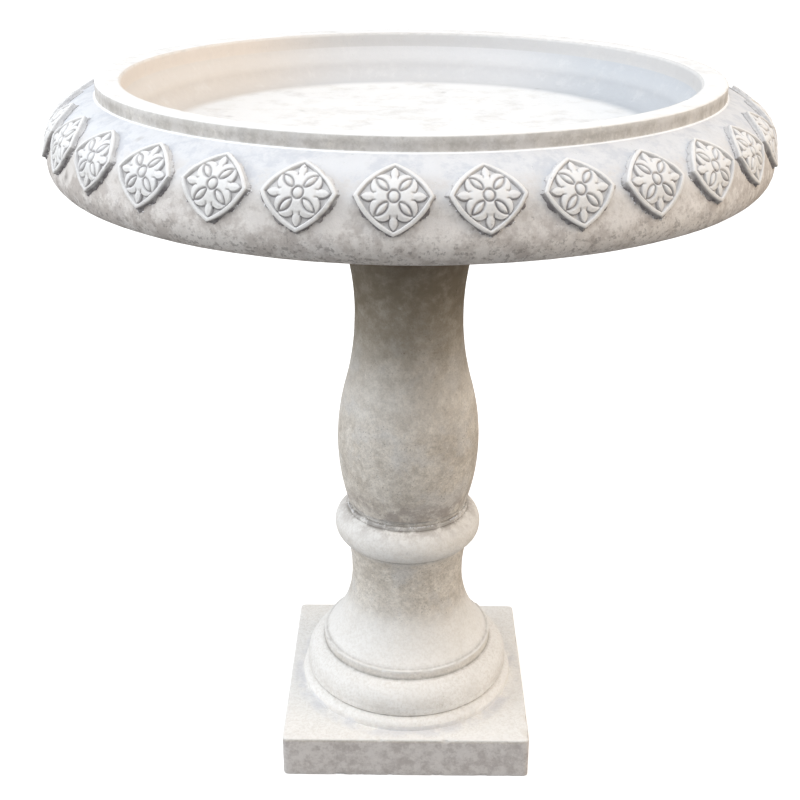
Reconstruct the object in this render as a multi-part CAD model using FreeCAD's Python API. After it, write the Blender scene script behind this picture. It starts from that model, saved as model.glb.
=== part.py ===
"""Cast stone bird bath: a square plinth and turned pedestal, a vase-shaped column, and a wide
shallow bowl whose rolled side carries a ring of separately cast rosette plaques.

Millimetres, +Z up. The origin is the centre of the plinth's underside, and the front faces -Y.
Every section is drawn in the XZ plane as (radius, height) and turned about Z.
"""
import FreeCAD, Part
import math
import os

V = FreeCAD.Vector

# ---- plinth and pedestal base ----
plinth_width = 250.0
plinth_height = 45.0
bead_radius = 112.0          # low half-round bead on the plinth
bead_height = 12.0
torus_radius = 106.4         # widest point of the cushion moulding
torus_waist = 23.0           # widest point, above the plinth's top
torus_height = 34.0          # cushion's height above the bead
torus_top_radius = 89.5
torus_foot_radius = 102.5
torus_foot_bulge = (0.8, 0.35)       # a point on the lower curve, as shares of its run and rise
torus_shoulder_bulge = (0.68, 0.32)
fillet_radius = 88.5         # plain band above the cushion
fillet_height = 10.5
fillet_lip = 3.0             # flat lip on top of the band
neck_radius = 57.6           # narrowest point of the hollow-curved neck
neck_height = 71.5           # narrowest point, above the band
neck_upper_curve = 175.0
collar_tube = 21.0           # half-round collar's own radius
collar_centre_radius = 53.8
collar_rise = 56.3           # collar's centre, above the narrowest point
ring_radius = 62.0           # thin ring on top of the collar
ring_height = 4.0

# ---- vase column ----
mortar_bed = 3.0             # bedding mortar between base and column
mortar_inset = 1.6           # mortar is struck back from the column's foot
belly_radius = 71.0
belly_height = 67.6          # widest point, above the column's foot
belly_lower_curve = 216.0
belly_upper_curve = 235.0
waist_radius = 52.8
waist_height = 202.0         # narrowest point, above the column's foot
cap_radius = 78.0            # plain band at the top of the column
cap_height = 16.0
column_height = 331.0
tenon_radius = 45.0          # tenon under the column, in the base's socket
tenon_length = 28.0
socket_gap = 2.0             # round the tenon
socket_floor_gap = 2.0       # under the tenon
edge_break = 1.5             # cast edges are slightly rounded

# ---- seat between column and bowl ----
gasket_thickness = 3.0
gasket_radius = 72.0
gasket_hole_radius = 30.0
dowel_radius = 8.0
dowel_in_column = 60.0
dowel_in_bowl = 20.0
dowel_hole_gap = 1.0         # round the dowel, in the bowl
dowel_end_gap = 5.0          # above the dowel, in the bowl

# ---- bowl ----
rim_radius = 278.0           # outer edge of the flat lip
lip_width = 22.0
lip_fall = 1.0               # lip slopes down towards the water
lip_wall = 14.0              # upright inner face of the lip
fascia_height = 12.5         # upright outer face of the lip
fascia_shelf = 1.0           # rolled side starts this far outside the fascia
side_dip = 15.5              # degrees below level where the rolled side starts
shoulder_curve = (78.0, 25.5)    # radius and turn in degrees, going outwards and down
hip_curve = (29.5, 34.5)
side_straight = 16.5
cheek_curve = (23.0, 13.2)
heel_curve = (20.9, 91.3)        # turns the section under, until it points at the centre
basin_wall_run = 22.0        # the basin's sloping wall, measured inwards
basin_cove = 20.0            # hollow curve between wall and floor, height
cove_lean = 1.5              # wall's foot, outside the slope's middle
cove_bulge = (0.15, 0.45)    # a point on the cove, as shares of its height
lip_lean = 1.0               # lip's inner face leans in by this much
floor_radius = 222.0
floor_thickness = 38.5       # at the floor's edge, above the flat underside
floor_dish = 4.0             # the floor is this much lower at its centre
floor_flat_radius = 60.0     # flat middle of the floor
boss_radius = 84.0           # round seat under the bowl
boss_height = 11.0
boss_cove = 14.0
boss_cove_bulge = 0.3

# ---- rosette plaques ----
plaque_count = 30
plaque_width = 55.2
plaque_height = 49.6
plaque_bulge = 3.3           # the four sides are bowed
plaque_drop = 43.2           # centre, along the rolled side from the fascia
plaque_turn = -2.0           # degrees from the front to the nearest plaque
plaque_bed = 0.3             # thin bed of slurry behind each plaque
field_thickness = 2.6        # sunk field
plaque_thickness = 4.6       # frame and flower
frame_width = 3.4
flower_radius = 14.0         # body of the flower
lobe_radius = 6.7            # two lobes at the foot of each leaf
lobe_along = 9.3             # lobe's centre, along the leaf and to its side
lobe_across = 7.4
tip_start = 11.0             # pointed tip of each leaf
tip_length = 11.8
tip_width = 6.4

# ---- cast-in steel ----
bar_radius = 4.0             # upright bars
hoop_radius = 3.0            # hoops and spokes
tie_radius = 2.5
steel_gap = 0.2              # between steel and stone
steel_clear = 1.0            # between crossing pieces of steel
steel_cover = 14.0           # stone outside the steel, at least
bar_count = 4
base_bar_circle = 33.0
column_bar_circle = 28.0
tie_count = 3
spoke_count = 8
spoke_inner = 46.0
floor_hoop_share = (0.5, 0.85)   # of the floor's radius
hoop_corner = 20.0

# ---- heights and radii that follow ----
torus_bottom_z = plinth_height + bead_height
torus_top_z = torus_bottom_z + torus_height
fillet_top_z = torus_top_z + fillet_height
neck_z = fillet_top_z + neck_height
collar_z = neck_z + collar_rise
collar_joint_radius = ring_radius - 1.0
collar_half_height = math.sqrt(collar_tube ** 2 - (collar_joint_radius - collar_centre_radius) ** 2)
base_top_z = collar_z + collar_half_height + ring_height
foot_z = base_top_z + mortar_bed
column_top_z = foot_z + column_height
seat_z = column_top_z + gasket_thickness
underside_z = seat_z + boss_height
socket_radius = tenon_radius + socket_gap
socket_floor_z = foot_z - tenon_length - socket_floor_gap
inner_lip_radius = rim_radius - lip_width
plaque_pitch = 360.0 / plaque_count


def at(r, z):
    return V(r, 0, z)


class Section:
    """An outline of (radius, height) points that is turned about Z into a solid."""

    def __init__(self, r, z):
        self.start = at(r, z)
        self.pen = self.start
        self.edges = []

    def line(self, r, z):
        end = at(r, z)
        self.edges.append(Part.LineSegment(self.pen, end).toShape())
        self.pen = end
        return self

    def arc(self, middle, end):
        points = (self.pen, at(*middle), at(*end))
        self.edges.append(Part.Arc(*points).toShape())
        self.pen = points[2]
        return self

    def follow(self, edges, end):
        self.edges.extend(edges)
        self.pen = end
        return self

    def turned(self, degrees=360.0):
        self.line(self.start.x, self.start.z)
        face = Part.Face(Part.Wire(self.edges))
        return face.revolve(V(0, 0, 0), V(0, 0, 1), degrees)


def arc_rise(radius, distance):
    """How far an arc of this radius leaves its tangent after this distance along it."""
    return radius - math.sqrt(radius ** 2 - distance ** 2)


def rod(start, end, radius):
    return Part.makeCylinder(radius, (end - start).Length, start, end - start)


def hoop(circle_radius, radius, z):
    return Part.makeTorus(circle_radius, radius, V(0, 0, z), V(0, 0, 1))


def polar(radius, degrees, z):
    angle = math.radians(degrees)
    return V(radius * math.cos(angle), radius * math.sin(angle), z)


def cut_all(shape, tools):
    for tool in tools:
        shape = shape.cut(tool)
    return shape


# ---- the rolled side of the bowl, as a chain of tangent curves ----

def side_chain(stand_off=0.0):
    """Edges of the rolled side, going down and under, with their end point.

    stand_off moves the whole chain outwards, square to the stone.
    """
    heading = math.radians(-side_dip)
    fascia_z = rim_z() - fascia_height
    here = V(rim_radius + fascia_shelf, 0, fascia_z) + outward(heading) * stand_off
    first = here
    edges = []
    for piece in (shoulder_curve, hip_curve, side_straight, cheek_curve, heel_curve):
        if isinstance(piece, tuple):
            radius = piece[0] + stand_off
            turn = math.radians(piece[1])
            middle = bend(here, heading, radius, turn / 2)
            end = bend(here, heading, radius, turn)
            edges.append(Part.Arc(here, middle, end).toShape())
            heading -= turn
        else:
            end = here + V(math.cos(heading), 0, math.sin(heading)) * piece
            edges.append(Part.LineSegment(here, end).toShape())
        here = end
    return edges, first, here


def outward(heading):
    return V(-math.sin(heading), 0, math.cos(heading))


def bend(here, heading, radius, turn):
    """The point reached after turning clockwise on this radius."""
    centre = here - outward(heading) * radius
    return centre + outward(heading - turn) * radius


def side_drop():
    """Height of the rolled side, from the fascia to the flat underside."""
    heading = math.radians(-side_dip)
    drop = 0.0
    for piece in (shoulder_curve, hip_curve, side_straight, cheek_curve, heel_curve):
        if isinstance(piece, tuple):
            turned = heading - math.radians(piece[1])
            drop += piece[0] * (math.cos(heading) - math.cos(turned))
            heading = turned
        else:
            drop -= piece * math.sin(heading)
    return drop


def rim_z():
    return underside_z + side_drop() + fascia_height


def side_point(distance):
    """Point and heading at this distance along the rolled side's first two curves."""
    heading = math.radians(-side_dip)
    here = V(rim_radius + fascia_shelf, 0, rim_z() - fascia_height)
    for radius, degrees in (shoulder_curve, hip_curve):
        turn = min(math.radians(degrees), distance / radius)
        here = bend(here, heading, radius, turn)
        heading -= turn
        distance -= turn * radius
    return here, heading


# ---- pedestal ----

def base_section():
    scotia_foot = fillet_radius - fillet_lip
    reach = scotia_foot - neck_radius
    neck_lower_curve = (neck_height ** 2 + reach ** 2) / (2 * reach)
    mid_drop = neck_height / 2
    mid_out = arc_rise(neck_lower_curve, mid_drop)
    collar_foot_z = collar_z - collar_half_height
    climb = collar_foot_z - neck_z
    neck_mid = (neck_radius + arc_rise(neck_upper_curve, climb / 2), neck_z + climb / 2)
    collar_foot = (neck_radius + arc_rise(neck_upper_curve, climb), collar_foot_z)
    bead_half = bead_height / 2
    bead_z = plinth_height + bead_half
    torus_z = plinth_height + torus_waist
    outline = Section(0, plinth_height - edge_break)
    outline.line(bead_radius - bead_half, plinth_height - edge_break)
    outline.line(bead_radius - bead_half, plinth_height)
    outline.arc((bead_radius, bead_z), (bead_radius - bead_half, torus_bottom_z))
    outline.line(torus_foot_radius, torus_bottom_z)
    foot_out = (torus_radius - torus_foot_radius) * torus_foot_bulge[0]
    foot_up = (torus_z - torus_bottom_z) * torus_foot_bulge[1]
    outline.arc((torus_foot_radius + foot_out, torus_bottom_z + foot_up), (torus_radius, torus_z))
    shoulder_out = (torus_radius - torus_top_radius) * torus_shoulder_bulge[0]
    shoulder_down = (torus_top_z - torus_z) * torus_shoulder_bulge[1]
    shoulder = (torus_top_radius + shoulder_out, torus_top_z - shoulder_down)
    outline.arc(shoulder, (torus_top_radius, torus_top_z))
    outline.line(fillet_radius, torus_top_z)
    outline.line(fillet_radius, fillet_top_z)
    outline.line(scotia_foot, fillet_top_z)
    outline.arc((neck_radius + mid_out, neck_z - mid_drop), (neck_radius, neck_z))
    outline.arc(neck_mid, collar_foot)
    collar_end_z = collar_z + collar_half_height
    collar_middle = (collar_centre_radius + collar_tube, collar_z)
    outline.arc(collar_middle, (collar_joint_radius, collar_end_z))
    outline.line(ring_radius, collar_end_z)
    outline.line(ring_radius, base_top_z)
    outline.line(0, base_top_z)
    return outline


def make_plinth():
    half = plinth_width / 2
    block = Part.makeBox(plinth_width, plinth_width, plinth_height, V(-half, -half, 0))
    upright = [e for e in block.Edges if abs(e.Vertexes[0].Z - e.Vertexes[1].Z) > plinth_height / 2]
    return block.makeFillet(edge_break, upright)


def make_pedestal_base():
    stone = make_plinth().fuse(base_section().turned())
    socket = Part.makeCylinder(socket_radius, base_top_z - socket_floor_z, V(0, 0, socket_floor_z))
    stone = stone.cut(socket).removeSplitter()
    return cut_all(stone, base_bars(steel_gap) + [plinth_hoop(steel_gap)])


def base_bars(gap=0.0):
    bars = []
    top = socket_floor_z - steel_cover
    for index in range(bar_count):
        angle = 45 + 360.0 * index / bar_count
        start = polar(base_bar_circle, angle, steel_cover - gap)
        end = polar(base_bar_circle, angle, top + gap)
        bars.append(rod(start, end, bar_radius + gap))
    return bars


def plinth_hoop(gap=0.0):
    """A square hoop of round bar with bent corners, in the plinth."""
    side = plinth_width / 2 - steel_cover * 2
    flat = side - hoop_corner
    z = plinth_height / 2
    tilt = math.sqrt(0.5) * hoop_corner
    edges = []
    for index in range(4):
        turn = FreeCAD.Rotation(V(0, 0, 1), 90.0 * index)
        run = (V(side, -flat, z), V(side, flat, z))
        corner = (run[1], V(flat + tilt, flat + tilt, z), V(flat, side, z))
        edges.append(Part.LineSegment(*[turn.multVec(p) for p in run]).toShape())
        edges.append(Part.Arc(*[turn.multVec(p) for p in corner]).toShape())
    path = Part.Wire(edges)
    start = V(side, -flat, z)
    ring = Part.Wire(Part.Circle(start, V(0, 1, 0), hoop_radius + gap).toShape())
    return path.makePipeShell([ring], True, False)


# ---- column ----

def foot_radius():
    return belly_radius - arc_rise(belly_lower_curve, belly_height)


def column_section():
    belly_z = foot_z + belly_height
    waist_z = foot_z + waist_height
    narrowing = belly_radius - waist_radius
    rise = waist_z - belly_z
    both_curves = (narrowing ** 2 + rise ** 2) / (2 * narrowing)
    waist_curve = both_curves - belly_upper_curve
    turn_share = belly_upper_curve / both_curves
    turn_point = (belly_radius - narrowing * turn_share, belly_z + rise * turn_share)
    half_belly = rise * turn_share / 2
    half_waist = rise * (1 - turn_share) / 2
    band_z = column_top_z - cap_height
    flare = band_z - waist_z
    flare_mid = (waist_radius + arc_rise(waist_curve, flare / 2), waist_z + flare / 2)
    flare_end = (waist_radius + arc_rise(waist_curve, flare), band_z)
    lower_mid = (belly_radius - arc_rise(belly_lower_curve, belly_height / 2), foot_z + belly_height / 2)
    outline = Section(0, foot_z - tenon_length)
    outline.line(tenon_radius, foot_z - tenon_length)
    outline.line(tenon_radius, foot_z)
    outline.line(foot_radius(), foot_z)
    outline.arc(lower_mid, (belly_radius, belly_z))
    upper_mid = (belly_radius - arc_rise(belly_upper_curve, half_belly), belly_z + half_belly)
    outline.arc(upper_mid, turn_point)
    waist_mid = (waist_radius + arc_rise(waist_curve, half_waist), waist_z - half_waist)
    outline.arc(waist_mid, (waist_radius, waist_z))
    outline.arc(flare_mid, flare_end)
    outline.line(cap_radius, band_z)
    outline.line(cap_radius, column_top_z - edge_break)
    outline.line(cap_radius - edge_break, column_top_z)
    outline.line(0, column_top_z)
    return outline


def make_vase_column():
    stone = column_section().turned()
    return cut_all(stone, column_bars(steel_gap) + column_ties(steel_gap) + [dowel_socket()])


def column_bars(gap=0.0):
    bars = []
    for index in range(bar_count):
        angle = 45 + 360.0 * index / bar_count
        start = polar(column_bar_circle, angle, foot_z - tenon_length + steel_cover - gap)
        end = polar(column_bar_circle, angle, column_top_z - steel_cover + gap)
        bars.append(rod(start, end, bar_radius + gap))
    return bars


def column_ties(gap=0.0):
    circle = column_bar_circle + bar_radius + tie_radius + steel_clear
    ties = []
    for index in range(tie_count):
        z = foot_z + column_height * (index + 0.5) / tie_count
        ties.append(hoop(circle, tie_radius + gap, z))
    return ties


def make_bedding_mortar():
    outer = Part.makeCylinder(foot_radius() - mortar_inset, mortar_bed, V(0, 0, base_top_z))
    inner = Part.makeCylinder(socket_radius, mortar_bed, V(0, 0, base_top_z))
    return outer.cut(inner)


# ---- seat ----

def make_seat_gasket():
    outer = Part.makeCylinder(gasket_radius, gasket_thickness, V(0, 0, column_top_z))
    inner = Part.makeCylinder(gasket_hole_radius, gasket_thickness, V(0, 0, column_top_z))
    return outer.cut(inner)


def make_locating_dowel():
    length = dowel_in_column + gasket_thickness + dowel_in_bowl
    pin = Part.makeCylinder(dowel_radius, length, V(0, 0, column_top_z - dowel_in_column))
    ends = [e for e in pin.Edges if e.Closed]
    return pin.makeChamfer(edge_break, ends)


def dowel_socket():
    bottom = column_top_z - dowel_in_column - steel_gap
    return Part.makeCylinder(dowel_radius + steel_gap, dowel_in_column + steel_gap, V(0, 0, bottom))


# ---- bowl ----

def bowl_section():
    top = rim_z()
    side, side_start, side_end = side_chain()
    lip_inner_z = top - lip_fall
    wall_foot_z = lip_inner_z - lip_wall
    floor_z = underside_z + floor_thickness
    cove_end = (floor_radius, floor_z)
    wall_r = inner_lip_radius - basin_wall_run / 2
    cove_mid = (wall_r - basin_cove * cove_bulge[0], floor_z + basin_cove * cove_bulge[1])
    cove_start = (wall_r + cove_lean, floor_z + basin_cove)
    outline = Section(0, seat_z)
    outline.line(boss_radius, seat_z)
    boss_mid = (boss_radius + boss_cove * boss_cove_bulge, underside_z - boss_height * boss_cove_bulge)
    outline.arc(boss_mid, (boss_radius + boss_cove, underside_z))
    outline.line(side_end.x, side_end.z)
    outline.follow([edge.reversed() for edge in reversed(side)], side_start)
    outline.line(rim_radius, side_start.z)
    outline.line(rim_radius, top - edge_break)
    outline.line(rim_radius - edge_break, top)
    outline.line(inner_lip_radius + edge_break, lip_inner_z)
    outline.line(inner_lip_radius, lip_inner_z - edge_break)
    outline.line(inner_lip_radius - lip_lean, wall_foot_z)
    outline.line(*cove_start)
    outline.arc(cove_mid, cove_end)
    centre_z = floor_z - floor_dish
    dish_run = floor_radius - floor_flat_radius
    dish_curve = (dish_run ** 2 + floor_dish ** 2) / (2 * floor_dish)
    dish_mid = (floor_flat_radius + dish_run / 2, centre_z + arc_rise(dish_curve, dish_run / 2))
    outline.arc(dish_mid, (floor_flat_radius, centre_z))
    outline.line(0, centre_z)
    return outline


def make_bowl():
    stone = bowl_section().turned()
    hole_depth = dowel_in_bowl + dowel_end_gap
    hole = Part.makeCylinder(dowel_radius + dowel_hole_gap, hole_depth, V(0, 0, seat_z))
    steel = bowl_floor_hoops(steel_gap) + bowl_spokes(steel_gap) + [bowl_rim_hoop(steel_gap)]
    return cut_all(stone, [hole] + steel)


def spoke_z():
    return underside_z + steel_cover


def bowl_spokes(gap=0.0):
    reach = rim_radius + fascia_shelf
    spokes = []
    for index in range(spoke_count):
        angle = 360.0 * (index + 0.5) / spoke_count
        start = polar(spoke_inner - gap, angle, spoke_z())
        end = polar(reach + gap, angle, spoke_z())
        spokes.append(rod(start, end, hoop_radius + gap))
    return spokes


def bowl_floor_hoops(gap=0.0):
    z = spoke_z() + 2 * hoop_radius + steel_clear
    return [hoop(floor_radius * share, hoop_radius + gap, z) for share in floor_hoop_share]


def bowl_rim_hoop(gap=0.0):
    z = (underside_z + rim_z()) / 2
    return hoop(rim_radius + fascia_shelf, hoop_radius + gap, z)


# ---- plaques ----

def lens(start, length, width):
    """An almond outline along +X, as a face."""
    base = V(start, 0, 0)
    tip = V(start + length, 0, 0)
    middle = start + length / 2
    upper = Part.Arc(base, V(middle, width / 2, 0), tip).toShape()
    lower = Part.Arc(tip, V(middle, -width / 2, 0), base).toShape()
    return Part.Face(Part.Wire([upper, lower]))


def diamond(half_width, half_height, bulge):
    """A square on its point with bowed sides, as a face."""
    corners = [V(half_width, 0, 0), V(0, half_height, 0), V(-half_width, 0, 0), V(0, -half_height, 0)]
    edges = []
    for index in range(4):
        start = corners[index]
        end = corners[(index + 1) % 4]
        middle = (start + end) * 0.5
        push = V(middle.x, middle.y, 0).normalize() * bulge
        edges.append(Part.Arc(start, middle + push, end).toShape())
    return Part.Face(Part.Wire(edges))


def turned_face(face, degrees):
    copy = face.copy()
    copy.rotate(V(0, 0, 0), V(0, 0, 1), degrees)
    return copy


def disc(x, y, radius):
    return Part.Face(Part.Wire(Part.Circle(V(x, y, 0), V(0, 0, 1), radius).toShape()))


def flower_faces():
    """A round body with four leaves, each with two lobes at its foot and a pointed tip."""
    faces = [disc(0, 0, flower_radius)]
    for index in range(4):
        leaf = [lens(tip_start, tip_length, tip_width)]
        leaf += [disc(lobe_along, side * lobe_across, lobe_radius) for side in (-1, 1)]
        faces += [turned_face(face, 90.0 * index) for face in leaf]
    return faces


def plaque_layer(low, high):
    """A strip of the rolled side's own shape, between two distances from the stone."""
    inner, inner_start, inner_end = side_chain(low)
    outer, outer_start, outer_end = side_chain(high)
    outline = Section(inner_start.x, inner_start.z)
    outline.follow(inner, inner_end)
    outline.line(outer_end.x, outer_end.z)
    outline.follow([edge.reversed() for edge in reversed(outer)], outer_start)
    strip = outline.turned(plaque_pitch * 2)
    strip.rotate(V(0, 0, 0), V(0, 0, 1), -plaque_pitch)
    return strip


def make_plaque():
    centre, heading = side_point(plaque_drop)
    normal = outward(heading)
    across = V(0, 1, 0)
    upwards = normal.cross(across)
    half_width = plaque_width / 2
    half_height = plaque_height / 2
    reach = plaque_height / 2
    place = FreeCAD.Placement(centre - normal * reach, FreeCAD.Rotation(across, upwards, normal, "ZXY"))

    def prism(face):
        solid = face.extrude(V(0, 0, 2 * reach))
        solid.Placement = place.multiply(solid.Placement)
        return solid

    outline = diamond(half_width, half_height, plaque_bulge)
    shrink = frame_width * math.sqrt(2)
    window = diamond(half_width - shrink, half_height - shrink, plaque_bulge)
    flower = prism(outline).cut(prism(window))
    for face in flower_faces():
        flower = flower.fuse(prism(face))
    slab = plaque_layer(plaque_bed, field_thickness).common(prism(outline))
    relief = plaque_layer(field_thickness, plaque_thickness).common(flower)
    relief = relief.common(prism(outline))
    return slab.fuse(relief).removeSplitter()


def save(name, shape):
    solids = shape.Solids
    kept = solids[0] if len(solids) == 1 else Part.makeCompound(solids)
    if not kept.isValid():
        raise ValueError(name + " is not a valid shape")
    kept.exportStep("parts/" + name + ".step")
    box = kept.optimalBoundingBox(False, False)
    size = "%.1f x %.1f x %.1f" % (box.XLength, box.YLength, box.ZLength)
    print(name, len(solids), "solid(s)", size, "volume %.0f" % kept.Volume)


def main():
    os.makedirs("parts", exist_ok=True)
    save("pedestal_base", make_pedestal_base())
    save("plinth_hoop", plinth_hoop())
    save("base_bars", Part.makeCompound(base_bars()))
    save("bedding_mortar", make_bedding_mortar())
    save("vase_column", make_vase_column())
    save("column_bars", Part.makeCompound(column_bars()))
    save("column_ties", Part.makeCompound(column_ties()))
    save("locating_dowel", make_locating_dowel())
    save("seat_gasket", make_seat_gasket())
    save("bowl", make_bowl())
    save("bowl_rim_hoop", bowl_rim_hoop())
    save("bowl_floor_hoops", Part.makeCompound(bowl_floor_hoops()))
    save("bowl_spokes", Part.makeCompound(bowl_spokes()))
    plaque = make_plaque()
    for index in range(plaque_count):
        copy = plaque.copy()
        copy.rotate(V(0, 0, 0), V(0, 0, 1), plaque_turn - 90 + plaque_pitch * index)
        save("rosette_plaque_%02d" % (index + 1), copy)
    print("overall height %.1f, bowl top %.1f" % (rim_z(), rim_z()))


main()
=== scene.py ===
"""Looks of the cast stone bird bath: soft-edged castings, relief plaques, mortar and stone finishes.

Sections are drawn in millimetres as (radius, height) and turned about Z; meshes are in metres.
"""
import math
import bpy
import numpy as np
from mathutils import Matrix, Vector


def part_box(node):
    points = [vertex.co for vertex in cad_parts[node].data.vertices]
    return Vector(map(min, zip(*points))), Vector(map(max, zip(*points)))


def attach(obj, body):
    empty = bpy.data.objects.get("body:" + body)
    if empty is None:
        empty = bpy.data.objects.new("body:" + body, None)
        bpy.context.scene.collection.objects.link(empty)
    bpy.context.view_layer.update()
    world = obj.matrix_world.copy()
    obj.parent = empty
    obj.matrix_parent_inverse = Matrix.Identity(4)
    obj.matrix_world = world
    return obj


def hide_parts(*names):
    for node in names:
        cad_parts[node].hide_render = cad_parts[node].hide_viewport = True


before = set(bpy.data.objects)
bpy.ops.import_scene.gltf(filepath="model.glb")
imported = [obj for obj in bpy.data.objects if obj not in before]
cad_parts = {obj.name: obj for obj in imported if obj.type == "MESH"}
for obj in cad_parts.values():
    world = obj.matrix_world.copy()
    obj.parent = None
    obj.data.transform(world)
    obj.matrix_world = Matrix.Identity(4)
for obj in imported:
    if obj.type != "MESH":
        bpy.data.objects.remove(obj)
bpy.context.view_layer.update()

MM = 0.001
AROUND = 640  # points round the bowl and round the mortar joint
AROUND_BASE = 480  # points round the base
AROUND_SLIM = 400  # points round the column
BOWL_ROWS = 150  # rows of points along each section
COLUMN_ROWS = 240
BASE_ROWS = 146
PLINTH_ROWS = 52
BEND_GAIN = 3.0  # how strongly a bend counts as an edge or as a hollow


def low_of(node):
    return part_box(node)[0] / MM


def high_of(node):
    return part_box(node)[1] / MM


# ---- sizes read from the frame, in millimetres ----
plinth_half = high_of("pedestal_base").x
base_top = high_of("pedestal_base").z
foot = high_of("bedding_mortar").z
column_top = high_of("vase_column").z
tenon_foot = low_of("vase_column").z
seat = low_of("bowl").z
rim_top = high_of("bowl").z

# ---- how far each casting's edges are rounded over ----
base_softening = 0.9
plinth_softening = 1.1
column_softening = 1.1
bowl_softening = 1.0

# ---- pedestal base ----
plinth_height = 45.0
plinth_corner_power = 70.0  # higher is a sharper upright corner
bead_radius = 112.0
bead_height = 12.0
torus_radius = 106.4
torus_widest = 68.0
torus_foot_radius = 102.5
torus_foot_bulge = (3.1, 3.9)  # out and up from the torus's foot to the middle of its lower arc
torus_top = 91.0
torus_top_bulge = (11.5, 7.4)  # out and down from the torus's top to the middle of its upper arc
torus_top_radius = 89.5
band_radius = 88.5
band_top = 101.5
band_lip = 3.0
neck_radius = 57.6
neck = 173.0
neck_upper_curve = 175.0
collar_centre_radius = 53.8
collar_tube = 21.0
collar = 229.3
collar_foot_lift = 3.5
collar_crown = 1.0  # the collar is widest this much above its centre
joint_inset = 1.0  # the collar's top edge, inside the ring
ring_radius = 62.0
socket_radius = 47.0
socket_floor = tenon_foot - 2.0

# ---- column ----
tenon_radius = 45.0
belly_radius = 71.0
belly = foot + 67.6
belly_lower_curve = 216.0
belly_upper_curve = 235.0
waist_radius = 52.8
waist = foot + 202.0
cap_radius = 78.0
cap_height = 16.0
dowel_hole_radius = 8.2
dowel_hole_depth = 60.0

# ---- bowl ----
rim_radius = 278.0
lip_width = 22.0
lip_fall = 1.0
lip_wall = 14.0
lip_wall_draft = 1.0
fascia_height = 12.5
fascia_shelf = 1.0
side_dip = 15.5
side_curves = ((78.0, 25.5), (29.5, 34.5), 16.5, (23.0, 13.2), (20.9, 91.3))
wall_run = 22.0
cove_height = 20.0
cove_draft = 1.5
floor_radius = 222.0
floor_dish = 4.0
floor_flat_radius = 60.0
underside = seat + 11.0
floor_edge = underside + 38.5
boss_radius = 84.0
boss_cove = 14.0
boss_cove_rise = 3.3
bowl_hole_radius = 9.0
bowl_hole_depth = 25.0

# ---- plaques ----
plaque_count = 30
plaque_turn = -92.0  # azimuth of the first plaque, degrees
plaque_half_width = 27.6
plaque_half_height = 26.4  # along the stone
plaque_centre = 43.2  # along the rolled side, from the fascia
plaque_bulge = 3.3
plaque_thickness = 4.6
field_thickness = 1.7
frame_band = 3.2
flower_rise = 2.2
flower_radius = 14.0
lobe_radius = 6.7
lobe_along = 9.3
lobe_across = 7.4
tip_start = 11.8
tip_length = 10.5
tip_width = 5.5
petal_start = 5.2
petal_length = 12.4
petal_width = 5.3
ring_groove_radius = 3.95
ring_groove_width = 0.75
petal_groove_width = 0.78
groove_depth = 1.5
crease_across = 2.4  # from the middle of a leaf's tip
crease_start = 11.0
crease_end = 15.5
crease_depth = 0.8
bed_depth = 0.45  # how far a plaque's back sinks in at its middle


def smooth(value, low, high):
    share = np.clip((value - low) / (high - low), 0.0, 1.0)
    return share * share * (3 - 2 * share)


# ---- sections ----

class Outline:
    """A finely stepped section, drawn with the stone on its left hand."""

    step = 0.4

    def __init__(self, r, z):
        self.points = [np.array([r, z], float)]

    def line(self, *corners):
        """Straight on to each corner in turn."""
        for corner in corners:
            start = self.points[-1]
            end = np.array(corner, float)
            count = max(1, int(np.linalg.norm(end - start) / self.step))
            for share in np.linspace(0, 1, count + 1)[1:]:
                self.points.append(start + (end - start) * share)

    def arc(self, middle, end):
        """A circle's arc through a middle point."""
        a = self.points[-1]
        b = np.array(middle, float)
        c = np.array(end, float)
        centre = circle_centre(a, b, c)
        radius = np.linalg.norm(a - centre)
        angles = [math.atan2(p[1] - centre[1], p[0] - centre[0]) for p in (a, b, c)]
        sweep_b = (angles[1] - angles[0]) % (2 * math.pi)
        sweep_c = (angles[2] - angles[0]) % (2 * math.pi)
        sweep = sweep_c if sweep_b < sweep_c else sweep_c - 2 * math.pi
        count = max(2, int(abs(sweep) * radius / self.step))
        for share in np.linspace(0, 1, count + 1)[1:]:
            angle = angles[0] + sweep * share
            self.points.append(centre + radius * np.array([math.cos(angle), math.sin(angle)]))

    def softened(self, sigma):
        """The outline with its edges rounded over, as array of (radius, height)."""
        points = np.array(self.points)
        reach = int(3 * sigma / self.step)
        kernel = np.exp(-0.5 * (np.arange(-reach, reach + 1) * self.step / sigma) ** 2)
        kernel /= kernel.sum()
        padded = np.concatenate([2 * points[0] - points[reach:0:-1], points,
                                 2 * points[-1] - points[-2:-reach - 2:-1]])
        result = np.stack([np.convolve(padded[:, k], kernel, "valid") for k in (0, 1)], axis=1)
        result[:, 0] = np.maximum(result[:, 0], 0.0)
        result[0, 0], result[-1, 0] = points[0, 0], points[-1, 0]
        return result


def circle_centre(a, b, c):
    """The centre of the circle through three points."""
    rows = np.array([b - a, c - a]) * 2
    sides = np.array([b @ b - a @ a, c @ c - a @ a])
    return np.linalg.solve(rows, sides)


def arc_rise(radius, distance):
    return radius - math.sqrt(radius ** 2 - distance ** 2)


def outward(heading):
    return np.array([-math.sin(heading), math.cos(heading)])


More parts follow.
